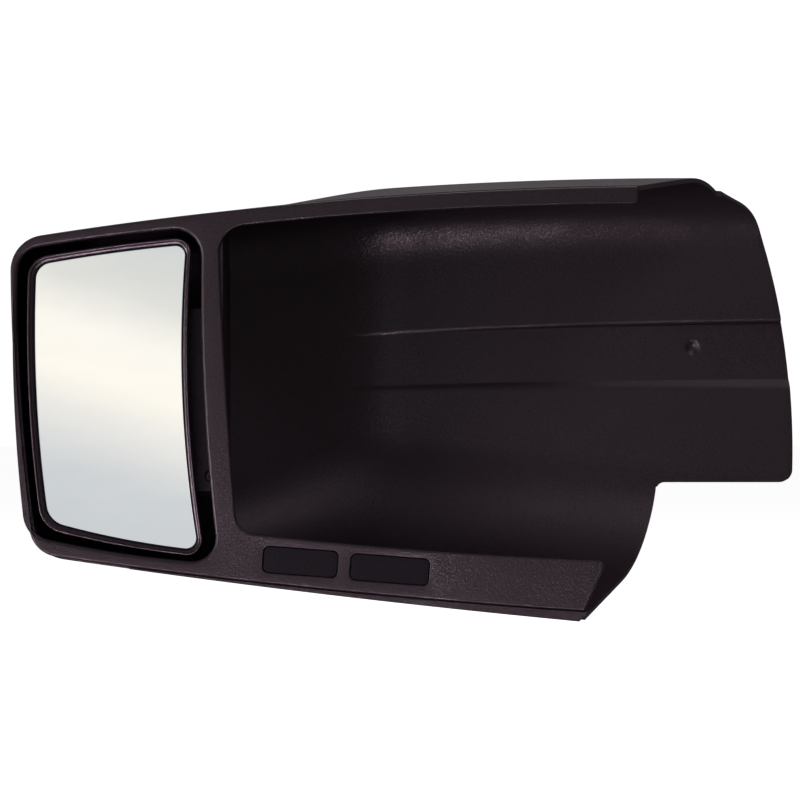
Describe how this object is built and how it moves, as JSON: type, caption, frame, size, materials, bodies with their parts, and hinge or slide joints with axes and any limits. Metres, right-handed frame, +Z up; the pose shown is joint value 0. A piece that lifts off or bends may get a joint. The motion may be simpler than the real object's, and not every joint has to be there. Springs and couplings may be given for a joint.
{
  "type": "slip-on towing mirror",
  "caption": "Slip-on towing mirror: a black moulded sleeve that slides over a pickup's door mirror and holds a tall adjustable glass outboard of it.",
  "frame": {"origin": "middle of the bulkhead's inboard face, against which the outboard end of the factory mirror head stops", "axes": "+X inboard, towards the vehicle's door; +Y forwards, away from the driver, so the glass looks along -Y; +Z up"},
  "size_m": [0.5206, 0.1207, 0.29],
  "materials": {
    "abs": "fine moulded grain, satin black",
    "pocket_abs": "smooth satin black",
    "rubber": "matt black rubber",
    "acetal": "natural white, waxy",
    "silvered_glass": "silvered",
    "foam": "adhesive foam sheet",
    "zinc_steel": "zinc plated",
    "spring_steel": "plain spring steel"
  },
  "bodies": {
    "housing": {"face_frame": "abs", "back_shell": "abs", "bulkhead": "pocket_abs", "grip_pad_outboard": "rubber", "grip_pad_inboard": "rubber", "carrier_plate": "pocket_abs", "carrier_screw_1": "zinc_steel", "carrier_screw_2": "zinc_steel", "carrier_screw_3": "zinc_steel", "carrier_screw_4": "zinc_steel", "pan_washer_upper": "spring_steel", "pan_washer_lower": "spring_steel"},
    "pivot": {"pivot_ball": "acetal"},
    "glass_unit": {"pivot_plate": "acetal", "plate_screw_1": "zinc_steel", "plate_screw_2": "zinc_steel", "plate_screw_3": "zinc_steel", "plate_screw_4": "zinc_steel", "tilt_washer_inboard": "spring_steel", "tilt_washer_outboard": "spring_steel", "glass_holder": "pocket_abs", "glass_pad": "foam", "mirror_glass": "silvered_glass"}
  },
  "joints": [
    {"name": "glass_pan", "type": "hinge", "parent": "housing", "child": "pivot", "pos_m": [-0.0705, -0.0255, 0.003], "axis": [0, 0, 1], "range_deg": [-9, 9]},
    {"name": "glass_tilt", "type": "hinge", "parent": "pivot", "child": "glass_unit", "pos_m": [-0.0705, -0.0255, 0.003], "axis": [1, 0, 0], "range_deg": [-9, 9]}
  ]
}
